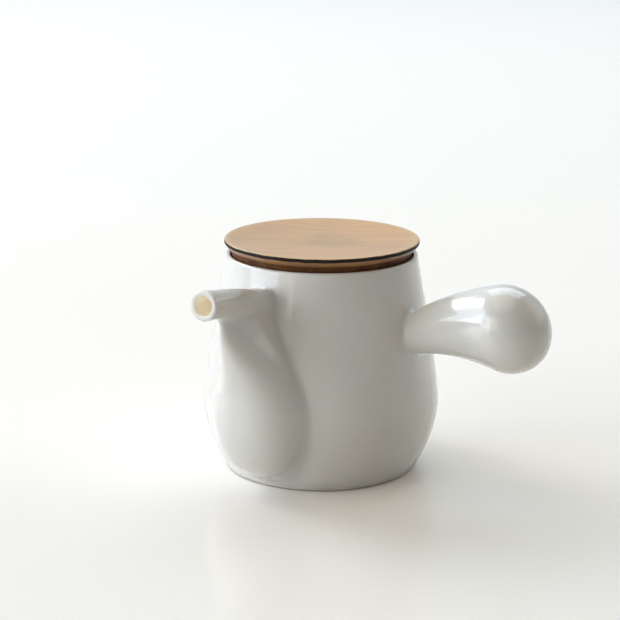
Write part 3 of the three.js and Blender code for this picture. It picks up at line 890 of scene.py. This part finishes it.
def pot_profile():
    """Closed profile of the pot, from the middle of its base round the outside and back in."""
    ring_outer = FOOT_RADIUS - FOOT_EDGE_ROUNDING
    ring_inner = ring_outer - FOOT_RING_WIDTH
    lip_centre = (LIP_RADIUS - LIP_WALL / 2, POT_HEIGHT - LIP_WALL / 2)
    seat_inner = mouth_radius - SEAT_WIDTH
    seat_under = seat_height - SEAT_THICKNESS - SEAT_UNDERCUT
    outer = wall_curve(WALL_STEPS)
    base = np.array([
        (0, BASE_RECESS_DEPTH),
        (ring_inner - BASE_RECESS_SLOPE, BASE_RECESS_DEPTH),
        (ring_inner, 0),
    ])
    foot = arc((ring_outer, FOOT_EDGE_ROUNDING), FOOT_EDGE_ROUNDING, -90, 0)
    lip = arc(lip_centre, LIP_WALL / 2, 0, 180)
    edge = seat_inner + SEAT_ROUNDING
    seat = np.vstack([
        [(mouth_radius, seat_height)],
        arc((edge, seat_height - SEAT_ROUNDING), SEAT_ROUNDING, 90, 180),
        arc((edge, seat_height - SEAT_THICKNESS + SEAT_ROUNDING), SEAT_ROUNDING, 180, 270),
    ])
    inner_wall = outer[(outer[:, 1] > BELLY_HEIGHT) & (outer[:, 1] < seat_under)] - (POT_WALL, 0)
    floor_height = BASE_RECESS_DEPTH + POT_FLOOR
    corner = BELLY_RADIUS - POT_WALL - FLOOR_CURVE_RADIUS
    floor_curve = cubic(
        (corner, floor_height),
        (corner + FLOOR_CURVE_RADIUS / 2, floor_height),
        (BELLY_RADIUS - POT_WALL, BELLY_HEIGHT - BELLY_CURVE_DROP / 2),
        (BELLY_RADIUS - POT_WALL, BELLY_HEIGHT),
        WALL_STEPS // 2,
    )
    under_seat = [(wall_at(seat_under)[0] - POT_WALL, seat_under)]
    outside = [base, foot, outer[1:-1], lip]
    inside = [seat, under_seat, inner_wall[::-1], floor_curve[::-1], [(0, floor_height)]]
    return np.vstack(outside + inside)


def cut_port(pot):
    """Opens the round port in the pot's wall, behind the spout."""
    angles = 2 * np.pi * np.arange(PORT_SEGMENTS) / PORT_SEGMENTS
    ring = np.c_[PORT_RADIUS * np.cos(angles), STRAINER_HEIGHT + PORT_RADIUS * np.sin(angles)]
    near, far = -BELLY_RADIUS / 2, -2 * BELLY_RADIUS
    points = [(x, y, z) for y in (near, far) for x, z in ring]
    count = len(ring)
    faces = [list(range(count))[::-1], list(range(count, 2 * count))]
    for k in range(count):
        following = (k + 1) % count
        faces.append([k, following, count + following, count + k])
    mesh = bpy.data.meshes.new("port_cutter")
    mesh.from_pydata(points, [], faces)
    cutter = bpy.data.objects.new("port_cutter", mesh)
    bpy.context.scene.collection.objects.link(cutter)
    cut = pot.modifiers.new("port", "BOOLEAN")
    cut.operation = "DIFFERENCE"
    cut.solver = "EXACT"
    cut.object = cutter
    bpy.context.view_layer.update()
    result = bpy.data.meshes.new_from_object(pot.evaluated_get(bpy.context.evaluated_depsgraph_get()))
    pot.modifiers.clear()
    old = pot.data
    name = old.name
    pot.data = result
    bpy.data.meshes.remove(old)
    result.name = name
    bpy.data.objects.remove(cutter)


def make_pot(gloss, matt):
    """The pot is glazed but for the ring that it stands on, up to its rounded edge, and that bare ring is
    coloured dark to paint the contact shade under the foot.
    """
    mesh = turned_mesh("glazed_pot", pot_profile(), POT_SEGMENTS)
    pot = add_piece(mesh, "pot", "porcelain", "pot_body", gloss, matt)
    cut_port(pot)
    ring_inner = FOOT_RADIUS - FOOT_EDGE_ROUNDING - FOOT_RING_WIDTH
    for face in pot.data.polygons:
        off = math.hypot(face.center.x, face.center.y)
        # the bare ring is coloured dark as painted contact shade
        if off > ring_inner and face.center.z < FOOT_EDGE_ROUNDING * FOOT_BARE_AND_SHADE_SHARE:
            face.material_index = 1


def make_spout(gloss):
    reach = BELLY_RADIUS + TIP_PROUD + SPOUT_ROOM_AHEAD
    half = POUCH_HALF_WIDTH + CREASE_FILLET_FOOT
    low = (-half, -reach, 0.0)
    high = (half, -BELLY_RADIUS / 2, POT_HEIGHT + SPOUT_ROOM_ABOVE)
    mesh = field_mesh("glazed_spout", spout_field, low, high, SPOUT_CELL)
    points = np.array([v.co for v in mesh.vertices])
    # share of painted glow in the bore, which the glaze shows as emission
    light = mesh.attributes.new("painted_bore_glow", "FLOAT", "POINT")
    light.data.foreach_set("value", painted_bore_glow(points))
    add_piece(mesh, "pot", "porcelain", "spout", gloss)


def make_handle(gloss):
    half = BALL_RADIUS + HANDLE_ROOM
    low = (LIP_RADIUS, -half, HANDLE_ROOT_HEIGHT - half)
    high = (BELLY_RADIUS + BALL_PROUD + half, half, BALL_HEIGHT + half)
    mesh = field_mesh("glazed_handle", handle_field, low, high, HANDLE_CELL)
    add_piece(mesh, "pot", "porcelain", "handle", gloss)


def make_strainer(gloss):
    half = PORT_RADIUS + STRAINER_LANDING + STRAINER_ROOM
    front = -strainer_seat() + STRAINER_COLLAR + STRAINER_RISE + STRAINER_ROOM_AHEAD
    low = (-half, -BELLY_RADIUS, STRAINER_HEIGHT - half)
    high = (half, front, STRAINER_HEIGHT + half)
    mesh = field_mesh("pierced_strainer", strainer_field, low, high, STRAINER_CELL)
    add_piece(mesh, "pot", "porcelain", "spout_strainer", gloss)


def dish_points(crest_radius):
    """The shallow dish from its crest to the middle, with faint ripples from turning."""
    dish = cubic(
        (crest_radius, lid_top),
        (crest_radius - LID_DISH_WALL, lid_top - LID_DISH_DEPTH / 2),
        (crest_radius / 2, lid_top - LID_DISH_DEPTH),
        (0, lid_top - LID_DISH_DEPTH),
        DISH_STEPS,
    )
    fade = ease((crest_radius - dish[:, 0]) / LID_DISH_WALL)
    dish[:, 1] -= TURNING_RIPPLE * fade * (1 - np.cos(2 * np.pi * dish[:, 0] / TURNING_PITCH))
    return dish


def lid_disc_profile():
    crest = (LID_RADIUS - LID_CREST_ROUNDING, lid_top - LID_CREST_ROUNDING)
    crest_radius = LID_RADIUS - LID_CREST_ROUNDING - LID_CREST_WIDTH
    foot = LID_RADIUS - LID_CHAMFER_WIDTH
    lean = LID_CHAMFER_WIDTH / LID_CHAMFER_HEIGHT
    return np.vstack([
        [(0, plate_bottom), (foot - LID_ARRIS, plate_bottom)],
        [(foot + LID_ARRIS * lean, plate_bottom + LID_ARRIS)],
        [(LID_RADIUS - LID_ARRIS * lean, chamfer_top - LID_ARRIS)],
        [(LID_RADIUS, chamfer_top + LID_ARRIS)],
        arc(crest, LID_CREST_ROUNDING, 0, 90),
        dish_points(crest_radius),
    ])


def lid_band_profile():
    bottom = plug_bottom - PLUG_SPIGOT_DEPTH
    hollow = spigot_radius - PLUG_RIM_WIDTH
    top = plate_bottom - GLUE_LINE
    return np.array([
        (0, bottom + PLUG_HOLLOW_DEPTH),
        (hollow - PLUG_CHAMFER, bottom + PLUG_HOLLOW_DEPTH),
        (hollow, bottom + PLUG_HOLLOW_DEPTH - PLUG_CHAMFER),
        (hollow + PLUG_CHAMFER, bottom),
        (spigot_radius - PLUG_CHAMFER, bottom),
        (spigot_radius, bottom + PLUG_CHAMFER),
        (spigot_radius, plug_bottom),
        (plug_radius - LID_ARRIS, plug_bottom),
        (plug_radius, plug_bottom + LID_ARRIS),
        (plug_radius, top - LID_ARRIS),
        (plug_radius - LID_ARRIS, top),
        (0, top),
    ])


def make_lid():
    disc = turned_mesh("lid_disc", lid_disc_profile(), LID_SEGMENTS)
    add_piece(disc, "lid", "lid_wood", "lid_plate", lid_wood())
    band = turned_mesh("lid_band", lid_band_profile(), LID_SEGMENTS)
    add_piece(band, "lid", "dark_wood", "lid_plug", band_wood())


# Camera, floor and light

def make_camera():
    data = bpy.data.cameras.new("camera")
    data.sensor_width = SENSOR_WIDTH_MM
    data.lens = LENS_MM
    camera = bpy.data.objects.new("camera", data)
    bpy.context.scene.collection.objects.link(camera)
    turn = Matrix.Rotation(CAMERA_AZIMUTH + CAMERA_YAW, 4, "Z")
    tilt = Matrix.Rotation(math.pi / 2 - CAMERA_PITCH, 4, "X")
    roll = Matrix.Rotation(CAMERA_ROLL, 4, "Z")
    place = Matrix.Translation((
        CAMERA_DISTANCE * math.sin(CAMERA_AZIMUTH),
        -CAMERA_DISTANCE * math.cos(CAMERA_AZIMUTH),
        CAMERA_HEIGHT,
    ))
    camera.matrix_world = place @ turn @ tilt @ roll
    bpy.context.scene.camera = camera


def ray_mask(tree, *names):
    """One for the named kinds of ray, zero for all others."""
    rays = tree.nodes.new("ShaderNodeLightPath")
    total = rays.outputs[names[0]]
    for name in names[1:]:
        add = tree.nodes.new("ShaderNodeMath")
        add.operation = "MAXIMUM"
        tree.links.new(total, add.inputs[0])
        tree.links.new(rays.outputs[name], add.inputs[1])
        total = add.outputs[0]
    return total


def mixed_shader(tree, share, first, second):
    """The first shader, with a share of the second."""
    mix = tree.nodes.new("ShaderNodeMixShader")
    tree.links.new(share, mix.inputs[0])
    tree.links.new(first, mix.inputs[1])
    tree.links.new(second, mix.inputs[2])
    return mix.outputs[0]


def table_material():
    """A pale table, shown whiter to the camera than it lights the pot, with painted light that lifts it a
    little, and more far off.
    """
    material = bpy.data.materials.new("white_table")
    material.use_nodes = True
    tree = material.node_tree
    plain = tree.nodes["Principled BSDF"]
    plain.inputs["Base Color"].default_value = colour(TABLE)
    plain.inputs["Roughness"].default_value = 0.5
    shown = tree.nodes.new("ShaderNodeBsdfPrincipled")
    shown.inputs["Base Color"].default_value = colour(TABLE_SHOWN)
    shown.inputs["Roughness"].default_value = 0.2
    shown.inputs["Emission Color"].default_value = colour(TABLE_PAINTED_LIFT)
    weight = tree.nodes.new("ShaderNodeLayerWeight")
    # painted light: emission that lifts the table, more far off
    painted_lift = tree.nodes.new("ShaderNodeMapRange")
    painted_lift.interpolation_type = "SMOOTHSTEP"
    painted_lift.inputs["From Min"].default_value = PAINTED_LIFT_FROM
    painted_lift.inputs["From Max"].default_value = PAINTED_LIFT_FULL
    painted_lift.inputs["To Min"].default_value = PAINTED_LIFT_NEAR
    painted_lift.inputs["To Max"].default_value = PAINTED_LIFT_FAR
    tree.links.new(weight.outputs["Facing"], painted_lift.inputs["Value"])
    tree.links.new(painted_lift.outputs[0], shown.inputs["Emission Strength"])
    seen = ray_mask(tree, "Is Camera Ray", "Is Glossy Ray", "Is Transmission Ray")
    surface = mixed_shader(tree, seen, plain.outputs[0], shown.outputs[0])
    tree.links.new(surface, tree.nodes["Material Output"].inputs["Surface"])
    return material


def make_floor():
    half = FLOOR_SIZE / 2
    corners = [(-half, -half, 0), (half, -half, 0), (half, half, 0), (-half, half, 0)]
    mesh = bpy.data.meshes.new("floor")
    mesh.from_pydata(corners, [], [(0, 1, 2, 3)])
    mesh.materials.append(table_material())
    floor = bpy.data.objects.new("floor", mesh)
    bpy.context.scene.collection.objects.link(floor)


def background(tree, rgb, strength=1.0):
    made = tree.nodes.new("ShaderNodeBackground")
    made.inputs["Color"].default_value = colour(rgb)
    made.inputs["Strength"].default_value = strength
    return made.outputs[0]


def make_world():
    """White backdrop for the camera, a dimmer room for mirror rays and a warm fill for the rest."""
    world = bpy.data.worlds.new("studio")
    bpy.context.scene.world = world
    world.use_nodes = True
    tree = world.node_tree
    tree.nodes.clear()
    mirrored = ray_mask(tree, "Is Glossy Ray")
    seen = ray_mask(tree, "Is Camera Ray", "Is Transmission Ray")
    lit = mixed_shader(tree, mirrored, background(tree, AMBIENT, AMBIENT_STRENGTH), background(tree, ROOM))
    output = tree.nodes.new("ShaderNodeOutputWorld")
    tree.links.new(mixed_shader(tree, seen, lit, background(tree, BACKDROP)), output.inputs["Surface"])


def area_light(name, left, up, width, height, level, tint):
    """A soft box aimed at the pot, by its degrees to the left of the camera and up from the table.

    Its level is the brightness that a white surface facing it would get.
    """
    bearing = CAMERA_AZIMUTH - math.radians(left)
    rise = math.radians(up)
    aim = Vector((0, 0, POT_HEIGHT / 2))
    away = Vector((math.sin(bearing) * math.cos(rise), -math.cos(bearing) * math.cos(rise), math.sin(rise)))
    data = bpy.data.lights.new(name, "AREA")
    data.shape = "RECTANGLE"
    data.size = width
    data.size_y = height
    data.energy = level * (math.pi * LIGHT_DISTANCE) ** 2
    data.color = tint
    light = bpy.data.objects.new(name, data)
    bpy.context.scene.collection.objects.link(light)
    light.location = aim + away * LIGHT_DISTANCE
    light.rotation_euler = (-away).to_track_quat("-Z", "Y").to_euler()


def make_lights():
    """Daylight from windows behind the pot's left, white walls round it and a ceiling over it."""
    area_light("window", 121, 33, 1.5, 1.8, level=0.31, tint=(0.84, 0.90, 1.0))
    area_light("second_window", 135, 28, 1.5, 1.6, level=0.18, tint=(1.0, 0.92, 0.90))
    area_light("side_window", 95, 25, 2.2, 2.4, level=0.27, tint=(0.78, 0.89, 1.0))
    area_light("side_wall", 70, 17, 2.8, 2.4, level=0.36, tint=(0.80, 0.88, 1.0))
    area_light("left_wall", 48, 22, 2.4, 2.4, level=0.17, tint=(1.0, 0.92, 0.72))
    area_light("right_wall", -110, 30, 3.0, 2.4, level=0.10, tint=(1.0, 0.95, 0.85))
    area_light("back_window", 190, 50, 3.4, 2.4, level=0.36, tint=(0.83, 0.93, 1.0))
    area_light("ceiling", 90, 88, 3.0, 3.0, level=0.16, tint=(1.0, 0.84, 0.55))


def main():
    bpy.context.scene.view_settings.view_transform = "Standard"
    make_camera()
    gloss = glaze()
    make_pot(gloss, bare_foot_and_shade())
    make_spout(gloss)
    make_handle(gloss)
    make_strainer(gloss)
    make_lid()
    make_floor()
    make_world()
    make_lights()


main()
